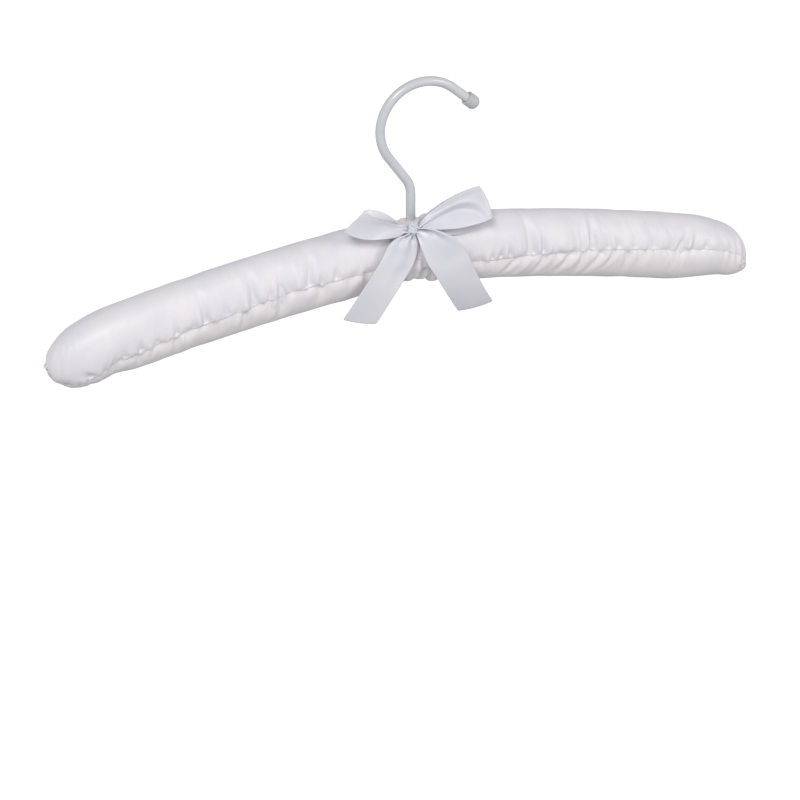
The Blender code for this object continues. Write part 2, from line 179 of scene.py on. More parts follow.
def ramp(tree, factor, low, high, first=0.0, last=1.0):
    """The factor stretched so that low becomes first and high becomes last."""
    made = add_node(tree, "ShaderNodeMapRange", Value=factor)
    for name, value in zip(("From Min", "From Max", "To Min", "To Max"), (low, high, first, last)):
        made.inputs[name].default_value = value
    return made.outputs["Result"]


def roughen(tree, shader, factor, low, high):
    """Roughness from low to high as the factor goes from 0 to 1."""
    tree.links.new(ramp(tree, factor, 0.0, 1.0, low, high), shader.inputs["Roughness"])


def noise_node(tree, vector, scale, detail=2.0, roughness=0.5):
    """Smooth noise from 0 to 1."""
    inputs = {"Vector": vector, "Scale": scale, "Detail": detail, "Roughness": roughness}
    return add_node(tree, "ShaderNodeTexNoise", **inputs).outputs["Fac"]


def wave_node(tree, vector, direction, scale, distortion, detail=2.0):
    """Wavy bands from 0 to 1."""
    inputs = {"Vector": vector, "Scale": scale, "Distortion": distortion, "Detail": detail}
    settings = {"bands_direction": direction}
    return add_node(tree, "ShaderNodeTexWave", settings, **inputs).outputs["Fac"]


def stretched(tree, vector, scale):
    """The place scaled by a different amount on each axis."""
    return add_node(tree, "ShaderNodeMapping", Vector=vector, Scale=scale).outputs["Vector"]


def bump(tree, shader, layers):
    """Chains one bump for each (height socket, distance in metres, strength)."""
    normal = None
    for height, distance, strength in layers:
        made = add_node(tree, "ShaderNodeBump", Height=height, Distance=distance, Strength=strength)
        if normal:
            tree.links.new(normal, made.inputs["Normal"])
        normal = made.outputs["Normal"]
    tree.links.new(normal, shader.inputs["Normal"])


def cloth_coordinates(tree):
    """Metres along and across the cloth, from the piece's own weave map."""
    return add_node(tree, "ShaderNodeUVMap", {"uv_map": "weave"}).outputs["UV"]


def satin_material(
    name, cool, warm, roughness, sheen, thread=0.00022, slubs=0.000012, crinkle=0.0
):
    """Satin: long floats that run along the cloth, crossed by fine binding threads."""
    material, tree, shader = new_material(
        name,
        Roughness=roughness,
        Sheen_Weight=sheen,
        Sheen_Roughness=0.35,
        Sheen_Tint=(0.94, 0.93, 1.0, 1.0),
        Anisotropic=0.35,
    )
    place = cloth_coordinates(tree)
    floats = noise_node(tree, stretched(tree, place, (0.06 / thread, 1 / thread, 1.0)), 1.0, 1.0)
    weft = noise_node(tree, stretched(tree, place, (0.8 / thread, 0.1 / thread, 1.0)), 1.0, 1.0)
    patches = noise_node(tree, place, 38.0)
    shade = add_node(tree, "ShaderNodeMath", {"operation": "MULTIPLY_ADD"}, _0=floats, _1=0.16)
    tree.links.new(ramp(tree, patches, 0.36, 0.66), shade.inputs[2])
    paint(tree, shader, shade.outputs[0], cool, warm)
    uneven = noise_node(tree, place, 260.0, 3.0)
    roughen(tree, shader, uneven, roughness - 0.05, roughness + 0.07)
    tangent = add_node(tree, "ShaderNodeTangent", {"direction_type": "UV_MAP", "uv_map": "weave"})
    tree.links.new(tangent.outputs["Tangent"], shader.inputs["Tangent"])
    soft = noise_node(tree, place, 320.0, 3.0, 0.6)
    layers = [(floats, slubs, 0.7), (weft, slubs * 0.6, 0.6), (soft, 0.00006, 0.30)]
    if crinkle:
        creases = noise_node(tree, stretched(tree, place, (130.0, 52.0, 1.0)), 1.0, 2.5)
        layers.append((creases, crinkle, 0.55))
    bump(tree, shader, layers)
    return material


def thread_material():
    """Two-ply sewing thread: a slanting twist with loose fibre."""
    material, tree, shader = new_material(
        "sewing_thread", Roughness=0.55, Sheen_Weight=0.4, Sheen_Roughness=0.5
    )
    place = cloth_coordinates(tree)
    twist = wave_node(tree, stretched(tree, place, (5200.0, 900.0, 1.0)), "DIAGONAL", 0.16, 0.8)
    paint(tree, shader, twist, (0.72, 0.71, 0.74), (0.88, 0.86, 0.87))
    fibre = noise_node(tree, place, 9000.0)
    bump(tree, shader, ((twist, 0.00008, 0.8), (fibre, 0.00003, 0.5)))
    return material


def object_place(tree):
    """Metres in the piece's own frame."""
    return add_node(tree, "ShaderNodeTexCoord").outputs["Object"]


def coating_material():
    """Dipped glossy coating, a little uneven over the wire."""
    material, tree, shader = new_material(
        "hook_coating", Roughness=0.24, Coat_Weight=0.5, Coat_Roughness=0.12
    )
    place = object_place(tree)
    tone = ramp(tree, noise_node(tree, place, 60.0, 3.0), 0.3, 0.7)
    paint(tree, shader, tone, (0.63, 0.65, 0.68), (0.70, 0.71, 0.73))
    roughen(tree, shader, noise_node(tree, place, 700.0, 3.0), 0.18, 0.32)
    flow = noise_node(tree, place, 260.0)
    grain = noise_node(tree, place, 2600.0)
    bump(tree, shader, ((flow, 0.00012, 0.5), (grain, 0.00001, 0.4)))
    return material


def cap_material():
    """Moulded grey-white plastic with a fine, dull skin."""
    material, tree, shader = new_material("cap_plastic", Roughness=0.33)
    place = object_place(tree)
    tone = ramp(tree, noise_node(tree, place, 240.0, 4.0), 0.3, 0.7)
    paint(tree, shader, tone, (0.52, 0.54, 0.53), (0.60, 0.61, 0.60))
    mould = noise_node(tree, place, 3200.0, 3.0)
    ripples = noise_node(tree, place, 420.0)
    bump(tree, shader, ((mould, 0.00001, 0.5), (ripples, 0.00006, 0.4)))
    return material


def steel_material():
    """Drawn steel: fine scratches round the part."""
    material, tree, shader = new_material("drawn_steel", Metallic=1.0, Roughness=0.3)
    place = object_place(tree)
    scratches = noise_node(tree, stretched(tree, place, (4000.0, 4000.0, 500.0)), 1.0, 3.0)
    paint(tree, shader, scratches, (0.50, 0.50, 0.52), (0.68, 0.68, 0.70))
    tree.links.new(ramp(tree, scratches, -0.4, 1.6), shader.inputs["Roughness"])
    bump(tree, shader, ((scratches, 0.00001, 0.5),))
    return material


def wood_material():
    """Planed pale hardwood with its grain along the bar."""
    material, tree, shader = new_material("planed_wood", Roughness=0.55)
    place = object_place(tree)
    grain = wave_node(tree, stretched(tree, place, (14.0, 160.0, 420.0)), "Z", 1.0, 5.0, 3.0)
    pores = noise_node(tree, stretched(tree, place, (160.0, 3000.0, 3000.0)), 1.0, 3.0)
    paint(tree, shader, grain, (0.62, 0.45, 0.27), (0.78, 0.62, 0.42))
    bump(tree, shader, ((grain, 0.00004, 0.4), (pores, 0.00005, 0.6)))
    return material


def wadding_material():
    """Matt polyester fibre."""
    material, tree, shader = new_material("wadding", Roughness=0.95, Sheen_Weight=0.6)
    place = object_place(tree)
    fibres = noise_node(tree, stretched(tree, place, (300.0, 1400.0, 1400.0)), 1.0, 5.0, 0.7)
    clumps = noise_node(tree, place, 140.0, 3.0)
    paint(tree, shader, fibres, (0.74, 0.74, 0.74), (0.93, 0.93, 0.92))
    bump(tree, shader, ((clumps, 0.0008, 0.7), (fibres, 0.0003, 0.9)))
    return material


MATERIALS = {
    "satin_upper": satin_material(
        "satin_upper", (0.81, 0.80, 0.84), (0.885, 0.86, 0.87), 0.42, 0.15, crinkle=0.0016
    ),
    # The lower panel's satin is a copy of the upper one with a warmer tint, which is painted
    # bounced light from below
    "satin_lower": satin_material(
        "satin_lower", (0.84, 0.815, 0.825), (0.895, 0.865, 0.855), 0.37, 0.15, crinkle=0.0018
    ),
    "ribbon": satin_material(
        "ribbon_satin", (0.735, 0.735, 0.79), (0.80, 0.80, 0.835), 0.31, 0.12, 0.00018, 0.000006
    ),
    "thread": thread_material(),
    "coating": coating_material(),
    "cap": cap_material(),
    "steel": steel_material(),
    "wood": wood_material(),
    "wadding": wadding_material(),
}


# Pieces


def add_object(name, data):
    """A new object in the scene."""
    obj = bpy.data.objects.new(name, data)
    bpy.context.scene.collection.objects.link(obj)
    return obj


def piece(mesh, material, body, node):
    """Links a mesh as a piece that rides a body and stands for a CAD node."""
    obj = add_object(mesh.name, mesh)
    mesh.materials.append(MATERIALS[material])
    mesh.shade_smooth()
    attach(obj, body)
    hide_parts(node)
    return obj


def grid_mesh(name, points, spacing, closed_across=False, closed_along=False, flip=False):
    """A mesh from points[along][across], with a weave map in metres.

    The spacing is the map's (along, across) length of one step.
    """
    rows, columns = len(points), len(points[0])
    shape = bmesh.new()
    verts = [[shape.verts.new(CENTRE + Vector(point)) for point in row] for row in points]
    layer = shape.loops.layers.uv.new("weave")
    for i in range(rows if closed_along else rows - 1):
        for j in range(columns if closed_across else columns - 1):
            corners = [(i, j), (i + 1, j), (i + 1, j + 1), (i, j + 1)]
            if flip:
                corners.reverse()
            face = shape.faces.new([verts[a % rows][b % columns] for a, b in corners])
            for loop, (a, b) in zip(face.loops, corners):
                loop[layer].uv = (a * spacing[0], b * spacing[1])
    mesh = bpy.data.meshes.new(name)
    shape.to_mesh(mesh)
    shape.free()
    return mesh


def keep_sharp(mesh, lines):
    """Keeps subdivision from rounding the edges along each line of vertices."""
    sharp = mesh.attributes.new("crease_edge", "FLOAT", "EDGE")
    lines = [set(line) for line in lines]
    for edge in mesh.edges:
        if any(line.issuperset(edge.vertices) for line in lines):
            sharp.data[edge.index].value = 0.9


def close_ends(mesh):
    """Fills the open rims of a tube with rounded-off fans."""
    shape = bmesh.new()
    shape.from_mesh(mesh)
    rims = [edge for edge in shape.edges if edge.is_boundary]
    bmesh.ops.holes_fill(shape, edges=rims, sides=0)
    big = [face for face in shape.faces if len(face.verts) > 4]
    bmesh.ops.poke(shape, faces=big)
    bmesh.ops.recalc_face_normals(shape, faces=shape.faces)
    shape.to_mesh(mesh)
    shape.free()


def subdivide(obj):
    """Smooths a piece by one level of subdivision."""
    modifier = obj.modifiers.new("smooth", "SUBSURF")
    modifier.levels = modifier.render_levels = 1


def thicken(obj, thickness, offset=-1.0):
    """Gives a sheet its thickness: inwards, or on both sides with an offset of 0."""
    modifier = obj.modifiers.new("thickness", "SOLIDIFY")
    modifier.thickness = thickness
    modifier.offset = offset


def ring(middle, first, second, radius, sides):
    """Points of a circle in the plane of two directions."""
    turns = [math.tau * k / sides for k in range(sides)]
    return [middle + (first * math.cos(turn) + second * math.sin(turn)) * radius for turn in turns]


def tube_mesh(name, path, radius, sides, radii=None):
    """A round tube along a path, without twist, with closed ends."""
    points = []
    side = None
    for index, place in enumerate(path):
        before = path[max(index - 1, 0)]
        after = path[min(index + 1, len(path) - 1)]
        ahead = (after - before).normalized()
        if side is None:
            side = ahead.orthogonal().normalized()
        side = (side - ahead * side.dot(ahead)).normalized()
        size = radii[index] if radii else radius
        points.append(ring(place, side, ahead.cross(side), size, sides))
    step = (path[1] - path[0]).length
    mesh = grid_mesh(name, points, (step, math.tau * radius / sides), closed_across=True)
    close_ends(mesh)
    return mesh


def thread_piece(node, kind, path, radius, sides):
    """A length of sewing thread in place of a CAD node."""
    mesh = tube_mesh(f"{node}_{kind}", path, radius, sides)
    piece(mesh, "thread", "arms", node)


# The arms' shape


def arm_centre_height(distance):
    """Height of the arm's centre line at a distance from the shank."""
    share = distance / HALF_SPAN
    return -(DROP_STRAIGHT * share + DROP_CURVED * share**2)


def waist(distance):
    """Share of the full section left where the cover is drawn in beside the shank."""
    return 1.0 - WAIST_PINCH * math.exp(-((distance / WAIST_LENGTH) ** 2))


def arm_stations(step):
    """(distance, fullness) pairs from the shank to the tip, evenly spaced over the satin."""
    straight = HALF_SPAN - TIP_LENGTH
    samples = 2000
    turns = np.linspace(0, math.acos(TIP_RING), 2 * samples)
    distances = np.concatenate(
        [
            np.linspace(COVER_START, straight, samples, endpoint=False),
            straight + TIP_LENGTH * np.sin(turns) ** (2 / TIP_POWER),
        ]
    )
    fullness = np.concatenate([np.ones(samples), np.cos(turns)])
    pace = np.hypot(np.diff(distances), ARM_HALF_HEIGHT * np.diff(fullness))
    lengths = np.concatenate([[0.0], np.cumsum(pace)])
    count = round(lengths[-1] / step)
    even = np.linspace(0, lengths[-1], count + 1)
    return list(zip(np.interp(even, lengths, distances), np.interp(even, lengths, fullness)))


def heights(side, distance, fullness):
    """How far the satin reaches above and below the arm's centre line."""
    full = ARM_HALF_HEIGHT * waist(distance)
    above = full * fullness
    if side < 0:
        belly = 0.0011 * hump(distance, 0.176, 0.010)
        notch = 0.0014 * hump(distance, 0.156, 0.006)
        return above, above + belly - notch
    sag = 0.0088
    above -= sag * (1 - fullness) ** 3
    last = max(0.0, distance - 0.175) / 0.015
    below = full - 0.0042 * smooth((distance - 0.140) / 0.035) - 0.0050 * last**2
    return above, below


def front_seam(side, distance):
    """Angle of the front seam round the arm: 0 faces the front and a quarter turn is the top."""
    share = distance / HALF_SPAN
    if side < 0:
        stops = ((0.0, -5), (0.2, -4), (0.35, -1), (0.46, -6), (0.60, -9), (0.72, -15))
        stops += ((0.83, -24), (0.90, -40), (0.96, -62), (1.0, -72))
    else:
        stops = ((0.0, -22), (0.2, -15), (0.3, -8), (0.43, -1), (0.52, 3), (0.71, 7))
        stops += ((0.90, 10), (1.0, 4))
    shares, degrees = zip(*stops)
    return math.radians(float(np.interp(share, shares, degrees)))


def skin(side, distance, fullness, angle):
    """A point on the smooth outside of an arm."""
    above, below = heights(side, distance, fullness)
    depth = ARM_HALF_DEPTH * waist(distance) * fullness
    middle = arm_centre_height(distance) + (above - below) / 2
    return (
        side * distance,
        -depth * math.cos(angle),
        middle + (above + below) / 2 * math.sin(angle),
    )


# Folds in the covers: (distance, width, depth, lean, reach) in millimetres, measured from the seam.
# A negative depth is a crest.
FOLDS = {
    (1, True): (
        (39, 1.4, 0.7, 0.1, 7), (43.5, 1.5, 0.9, 0.2, 8), (49, 1.5, 0.8, 0.0, 9),
        (54, 1.6, -0.5, -0.1, 16), (61, 2.6, 1.5, -0.10, 30), (67.5, 1.6, 1.2, -0.05, 13),
        (78, 8.0, -0.9, 0.0, 28), (92, 1.4, -0.5, 0.0, 26), (95, 1.7, 1.3, 0.06, 26),
        (104, 1.6, 0.8, -0.1, 10), (110, 1.8, 0.8, -0.2, 9), (119, 2.6, 0.6, 0.1, 16),
        (130, 2.2, 0.5, 0.0, 10), (145, 1.7, 1.2, 0.45, 12), (148.5, 1.4, -0.7, 0.45, 12),
        (160, 2.0, 0.5, 0.3, 7),
    ),
    (1, False): (
        (53, 1.7, 0.9, -0.8, 13), (61, 2.2, -0.5, -0.6, 16), (69, 2.0, 1.1, -0.6, 15),
        (84, 2.4, 1.3, -0.75, 16), (90, 1.7, 1.1, -0.3, 16), (101, 1.9, 1.1, -0.7, 16),
        (107.5, 1.6, 0.8, -0.6, 12), (115, 1.9, 0.9, -0.15, 15), (124, 2.2, 0.4, -0.2, 10),
    ),
    (-1, True): (
        (44.6, 1.4, 0.9, 0.0, 9), (52, 1.3, 0.5, 0.2, 11), (59, 2.4, 1.2, -0.10, 22),
        (65, 1.9, -0.5, 0.0, 19), (73, 1.6, 1.0, 0.10, 15), (78, 1.3, 0.5, 0.3, 10),
        (87, 2.0, 1.4, 0.10, 21), (92, 1.5, -0.5, 0.1, 15), (101, 1.3, 0.5, 0.2, 10),
        (112, 1.7, 1.3, 0.15, 19), (118, 1.4, 0.6, 0.1, 11), (127, 1.5, 0.9, 0.1, 11),
        (137, 1.5, 0.7, 0.2, 9), (145, 1.5, 0.9, 0.2, 10), (153, 1.5, 0.7, 0.3, 9),
        (169, 1.8, 1.1, 0.7, 9),
    ),
    (-1, False): (
        (38, 2.2, 0.6, 0.0, 12), (52.5, 3.4, 1.0, 0.1, 16), (72.5, 2.2, 1.4, 0.05, 17),
        (92.5, 1.5, 1.1, 0.05, 15), (108, 2.6, 0.7, -0.1, 14), (124, 1.3, -0.9, -0.05, 11),
        (128, 1.5, 0.9, -0.05, 11), (146, 2.0, 0.6, 0.1, 10),
    ),
}


def rear_folds(side, upper):
    """Folds beside the rear seam, spread unevenly along the arm."""
    chance = random.Random(f"{SIDES[side]} {upper}")
    folds = []
    distance = 22.0
    while distance < 165:
        reach = chance.choice((7, 9, 12, 15))
        depth = chance.uniform(0.5, 1.0)
        folds.append((distance, chance.uniform(1.4, 2.4), depth, chance.uniform(-0.4, 0.3), reach))
        distance += chance.uniform(6, 15)
    return folds


def fold_depth(folds, upper, distance, across):
    """Depth of all the folds at a distance along the arm and across from the seam."""
    total = 0.0
    across_mm = across * 1000
    for place, width, depth, lean, reach in folds:
        offset = (distance * 1000 - place - lean * across_mm) / width
        if abs(offset) < 4:
            fade = smooth(1.15 - across_mm / reach) * (1 - 0.45 * min(1.0, across_mm / 20))
            valley = math.exp(-(abs(1.15 * offset) ** 1.25))
            lip = 0.36 * math.exp(-(((offset - 1.60) / 0.95) ** 2))
            lip += 0.28 * math.exp(-(((offset + 1.75) / 1.0) ** 2))
            total += depth * (valley - lip) * fade
    slack = SLACK * ripple(distance / 0.011, across / 0.017, 6.0)
    slack = slack * smooth(across / 0.004) * smooth(distance / 0.03)
    return total * FOLD_GAIN[upper] / 1000 + slack


def seam_depth(side, distance, across, seed):
    """The dip along a seam and the small puckers that its stitches draw."""
    dip = SEAM_DIP * math.exp(-((across / SEAM_DIP_WIDTH) ** 2))
    dip *= 1 + 0.8 * ripple(distance / 0.009, 2.0, seed)
    crease = max(0.0, 1 - 3.2 * abs(ripple(distance / 0.0042, across / 0.011, seed + side)))
    swell = ripple(distance / 0.0036, across / 0.012, seed + side + 9.5)
    strength = 0.5 + ripple(distance / 0.017, 5.0, seed + side)
    strength = max(0.15, strength) * math.exp(-across / PUCKER_REACH) * smooth(distance / 0.02)
    return dip + PUCKER * (0.55 * crease + 0.8 * swell) * strength


def waist_depth(distance, angle, side):
    """The thread's groove round the cover, the ridges beside it and the gathers across it."""
    groove = 0.0013 * hump(distance, GATHER_PLACE, 0.0013)
    ridge = -0.0008 * hump(distance, 0.0094, 0.0020) - 0.0006 * hump(distance, 0.0026, 0.0018)
    second = 0.0007 * hump(distance, 0.0128, 0.0016) - 0.0004 * hump(distance, 0.0164, 0.002)
    gathers = ripple(angle * 3.6, distance / 0.02, 4.0 + side) * 0.0012
    gathers *= math.exp(-((distance / 0.016) ** 2))
    front = max(0.0, math.cos(angle)) * math.exp(-((distance / 0.014) ** 2))
    wave = distance / 0.0058 + 0.25 * math.sin(3 * angle)
    wave += 0.5 * ripple(distance / 0.006, 8.0, side)
    gathers += 0.0011 * front * math.sin(math.tau * wave)
    puff = 0.0015 * max(0.0, math.cos(angle)) * math.exp(-((distance / 0.012) ** 2))
    return (groove + ridge + second + gathers - puff) / (1 + REPRESS)


def cover_grid(side):
    """The smooth sleeve of one arm: its stations, points, outward directions and angles."""
    stations = arm_stations(CLOTH_STEP)
    count = COLUMNS_UPPER + COLUMNS_LOWER
    points = np.zeros((len(stations), count, 3))
    angles = np.zeros((len(stations), count))
    for i, (distance, fullness) in enumerate(stations):
        wander = SEAM_WANDER / ARM_HALF_DEPTH * ripple(distance / 0.0045, 3.0, side)
        front = front_seam(side, distance) + wander * (1 if fullness > 0.9 else 0)
        for j in range(count):
            if j <= COLUMNS_UPPER:
                angle = front + (math.pi - front) * j / COLUMNS_UPPER
            else:
                share = (j - COLUMNS_UPPER) / COLUMNS_LOWER
                angle = math.pi + (front + math.pi) * share
            angles[i, j] = angle
            points[i, j] = skin(side, distance, fullness, angle)
            neck = 0.0009 * ripple(math.sin(angle) * 1.8, math.cos(angle) * 1.8, 4.4)
            points[i, j, 0] += neck * math.exp(-distance / 0.004)
    along = np.gradient(points, axis=0)
    across = np.roll(points, -1, axis=1) - np.roll(points, 1, axis=1)
    outward = np.cross(along, across) * side
    outward /= np.linalg.norm(outward, axis=2, keepdims=True)
    return stations, points, outward, angles


def press_depths(side, stations, points, angles):
    """Depth of the seams, puckers and folds at each point of the smooth sleeve."""
    count = points.shape[1]
    steps = np.linalg.norm(np.roll(points, -1, axis=1) - points, axis=2)
    folds = {upper: (FOLDS[side, upper], rear_folds(side, upper)) for upper in (True, False)}
    depths = np.zeros((len(stations), count, 1))
    for i, (distance, fullness) in enumerate(stations):
        run = np.concatenate([[0.0], np.cumsum(steps[i])])
        for j in range(count):
            upper = j <= COLUMNS_UPPER
            from_front = run[j] if upper else run[count] - run[j]
            from_rear = abs(run[j] - run[COLUMNS_UPPER])
            depth = seam_depth(side, distance, from_front, 1.0)
            depth += seam_depth(side, distance, from_rear, 30.0)
            lift = smooth(from_front / 0.0015) * smooth(from_rear / 0.0015)
            for rows, across in zip(folds[upper], (from_front, from_rear)):
                depth += fold_depth(rows, upper, distance, across) * lift
            depth += waist_depth(distance, angles[i, j], side)
            depths[i, j] = depth * smooth((fullness - TIP_RING) / 0.3)
    return depths


def cloth_solve(side, points):
    """Lets the sleeve take up its spare length between its pinned seams, waist and tip."""
    mesh = grid_mesh("sleeve", points, (CLOTH_STEP, CLOTH_STEP), closed_across=True, flip=side < 0)
    obj = add_object("sleeve", mesh)
    rows, count = points.shape[:2]
    pinned = {i * count + j for i in range(rows) for j in (0, COLUMNS_UPPER)}
    for i in (0, round(GATHER_PLACE / CLOTH_STEP), rows - 2, rows - 1):
        pinned |= {i * count + j for j in range(count)}
    obj.vertex_groups.new(name="pinned").add(sorted(pinned), 1.0, "REPLACE")
    obj.shape_key_add(name="Basis")
    rest = obj.shape_key_add(name="rest")
    for vertex in rest.data:
        local = vertex.co - CENTRE
        own = (local.x * GATHER[side], local.y * GIRTH_SLACK, local.z * GIRTH_SLACK)
        vertex.co = CENTRE + Vector(own)
    cloth = obj.modifiers.new("cloth", "CLOTH")
    for name, value in CLOTH_SETTINGS.items():
        setattr(cloth.settings, name, value)
    cloth.settings.vertex_group_mass = "pinned"
    cloth.settings.rest_shape_key = rest
    cloth.settings.effector_weights.gravity = 0
    cloth.collision_settings.use_collision = False
    cloth.point_cache.frame_start = 1
    cloth.point_cache.frame_end = SIM_FRAMES
    for step in range(1, SIM_FRAMES + 1):
        bpy.context.scene.frame_set(step)
    evaluated = obj.evaluated_get(bpy.context.evaluated_depsgraph_get())
    solved = np.zeros(rows * count * 3)
    evaluated.data.vertices.foreach_get("co", solved)
    bpy.data.objects.remove(obj)
    bpy.data.meshes.remove(mesh)
    bpy.context.scene.frame_set(1)
    solved = solved.reshape(points.shape) - np.array(CENTRE)
    move = solved - points
    size = np.linalg.norm(move, axis=2, keepdims=True)
    return points + move * np.minimum(1.0, MOST_SWELL / np.maximum(size, 1e-9))


def clear_shank(points):
    """Parts the cover's top round the hook's shank."""
    for row in points:
        for point in row:
            reach = math.hypot(point[0], point[1])
            if point[2] > 0 and reach < SHANK_CLEAR:
                point[:2] *= SHANK_CLEAR / reach


def cover_panel(side, upper, points, outward, smooth_points):
    """One satin panel, turned in at the shank: the upper one laps the lower along both seams."""
    count = points.shape[1]
    first, last = (0, COLUMNS_UPPER) if upper else (COLUMNS_UPPER, count)
    columns = [j % count for j in range(first, last + 1)]
    edges = [0, COLUMNS_UPPER] if upper else [COLUMNS_UPPER - 1, 1]
    widths = np.linalg.norm(np.diff(smooth_points[:, columns], axis=1), axis=2).sum(axis=1)
    along = CLOTH_STEP * GATHER[side]
    tip = points[-1].mean(axis=0)
    ends = points[:, edges] - outward[:, [columns[0], columns[-1]]] * SEAM_ALLOWANCE
    rows = [[start, *row, end] for row, (start, end) in zip(points[:, columns], ends)]
    turned = [point * np.array((1.0, 1 - TURN_IN, 1.0)) for point in rows[0]]
    for point in turned:
        point[2] -= TURN_IN * (point[2] - arm_centre_height(0.0))
    rows.insert(0, turned)
    rows.append([tip + (point - tip) * TIP_CLOSED for point in rows[-1]])
    level = "upper" if upper else "lower"
    name = f"cover_{level}_{SIDES[side]}"
    spacing = (along, widths.max() / (len(columns) - 1))
    mesh = grid_mesh(name + "_satin", rows, spacing, flip=side < 0)
    across = len(rows[0])
    seams = [range(column, len(rows) * across, across) for column in (1, across - 2)]
    keep_sharp(mesh, [range(across, 2 * across)] + (seams if upper else []))
    # The lower panel gets the satin whose warmer tint is painted bounced light
    panel = piece(mesh, "satin_" + level, "arms", name)
    subdivide(panel)
    thicken(panel, SATIN)


def make_cover(side):
    """The padding and satin of one arm. Returns the sleeve's points and outward directions."""
    stations, points, outward, angles = cover_grid(side)
    smooth_points = points
    pressed = outward * press_depths(side, stations, points, angles)
    points = points - pressed
    points = cloth_solve(side, points) - pressed * REPRESS
    clear_shank(points)
    make_padding(side)
    for upper in (True, False):
        cover_panel(side, upper, points, outward, smooth_points)
    return points, outward


def make_padding(side):
    """Wadding under a cover: a tufted roll, a little slack inside the satin."""
    inset = 0.84
    step_along, sides = 0.0035, 36
    rows = []
    for distance, fullness in arm_stations(step_along):
        if distance < GATHER_PLACE:
            continue
        row = []
        for step in range(sides):
            angle = math.tau * step / sides
            x, y, z = skin(side, min(distance, HALF_SPAN - 0.003), fullness, angle)
            middle = arm_centre_height(distance)
            tuft = 1 + 0.05 * ripple(distance / 0.009, math.cos(angle) * 1.7, math.sin(angle) * 1.7)
            row.append((x, y * inset * tuft, middle + (z - middle) * inset * tuft))
        rows.append(row)
    name = "padding_" + SIDES[side]
    spacing = (step_along, 0.0025)
    mesh = grid_mesh(name + "_wadding", rows, spacing, closed_across=True, flip=side < 0)
    close_ends(mesh)
    padding = piece(mesh, "wadding", "arms", name)
    subdivide(padding)


# Threads

SEAM_THREAD = 0.00016
GATHER_THREAD = 0.00024
TIP_THREAD = 0.00029
TIP_KNOTS = {  # ring of the cover back from the tip, share round it from the front seam, lift
    -1: (1, 0.22, 0.0002),
    1: (14, 0.944, 0.0007),
}


def make_seam_thread(side, points, outward):
    """Running stitches that dive in and out, along the front seam and back along the rear."""
    stitch = 0.0026
    path = []
    routes = ((0, range(4, len(points) - 1)), (COLUMNS_UPPER, range(len(points) - 2, 3, -1)))
    for column, rows in routes:
        line = [Vector(points[i, column]) for i in rows]
        lifts = [Vector(outward[i, column]) for i in rows]
        run = 0.0
        for first, second, lift in zip(line, line[1:], lifts):
            length = (second - first).length
            parts = max(1, round(length / 0.0004))
            for part in range(parts):
                share = part / parts
                wave = math.sin(math.tau * (run + length * share) / (2 * stitch))
                path.append(first.lerp(second, share) + lift * (0.00036 * wave - 0.00020))
            run += length
    thread_piece("seam_thread_" + SIDES[side], "stitches", path, SEAM_THREAD, 6)


def make_gather_thread(side, points, outward):
    """Two turns of thread drawn tight in the groove beside the shank."""
    row = round(GATHER_PLACE / CLOTH_STEP)
    count = points.shape[1]
    clear = SHANK_CLEAR + 0.0006
    path = []
    turns = 2
    for step in range(turns * count):
        share = step / (turns * count)
        j = step % count
        place = Vector(points[row, j]) + Vector(outward[row, j]) * 0.00055
        wander = 0.00035 * ripple(step / 9.0, side, 2.0)
        place.x += side * (0.0007 * (share - 0.5) + wander)
        reach = math.hypot(place.x, place.y)
        if place.z > 0 and reach < clear:
            place.xy = place.xy * (clear / reach)
        path.append(place)
    thread_piece("gather_thread_" + SIDES[side], "turns", path, GATHER_THREAD, 8)


def make_tip_knot(side, points, outward):
    """A small coil of thread that draws the tip of the cover shut."""
    back, share, rise = TIP_KNOTS[side]
    row = len(points) - back
    column = round(share * points.shape[1]) % points.shape[1]
    ahead = Vector(outward[row, column]).normalized()
    middle = Vector(points[row, column]) + ahead * rise
    first = ahead.orthogonal().normalized()
    second = ahead.cross(first)
    turns, steps = 2.7, 72
    path = []
    for step in range(steps + 1):
        angle = math.tau * turns * step / steps
        coil = 0.00130 + 0.00014 * math.sin(3 * angle)
        lift = 0.00025 * math.sin(2 * angle) + 0.00015 * step / steps
        path.append(
            middle + (first * math.cos(angle) + second * math.sin(angle)) * coil + ahead * lift
        )
    thread_piece("tip_knot_" + SIDES[side], "coil", path, TIP_THREAD, 8)


# Hook


def hook_path(tip_run):
    """The hook's centre line, from the sleeve's foot to tip_run past the rail arc."""
    moves = (
        (NECK_HEIGHT - SLEEVE_FOOT, 0.0),
        (NECK_RADIUS * NECK_TURN, NECK_TURN),
        (SLANT_LENGTH, 0.0),
        (RAIL_ARC_RADIUS * RAIL_ARC_TURN, -RAIL_ARC_TURN),
        (tip_run, 0.0),
    )
    x, z, lean = 0.0, SLEEVE_FOOT, 0.0
    points = [Vector((x, 0.0, z))]
    for length, turn in moves:
        steps = max(1, math.ceil(abs(turn) / HOOK_TURN_STEP), round(length / 0.0012))
        step_turn = turn / steps
        chord = length / steps
        if turn:
            chord *= math.sin(abs(step_turn) / 2) / (abs(step_turn) / 2)
        for _ in range(steps):
            lean += step_turn / 2
            x -= chord * math.sin(lean)
            z += chord * math.cos(lean)
            lean += step_turn / 2
            points.append(Vector((x, 0.0, z)))
    return points


def make_sleeve():
    """The coating over the wire, a hair thicker here and there."""
    path = hook_path(CAP_START + CAP_DEPTH - 0.0003)
    radii = [SLEEVE_RADIUS + 0.00005 * ripple(index / 5.0, 1.0, 2.0) for index in range(len(path))]
    mesh = tube_mesh("hook_sleeve_coating", path, SLEEVE_RADIUS, 28, radii)
    piece(mesh, "coating", "hook", "hook_sleeve")


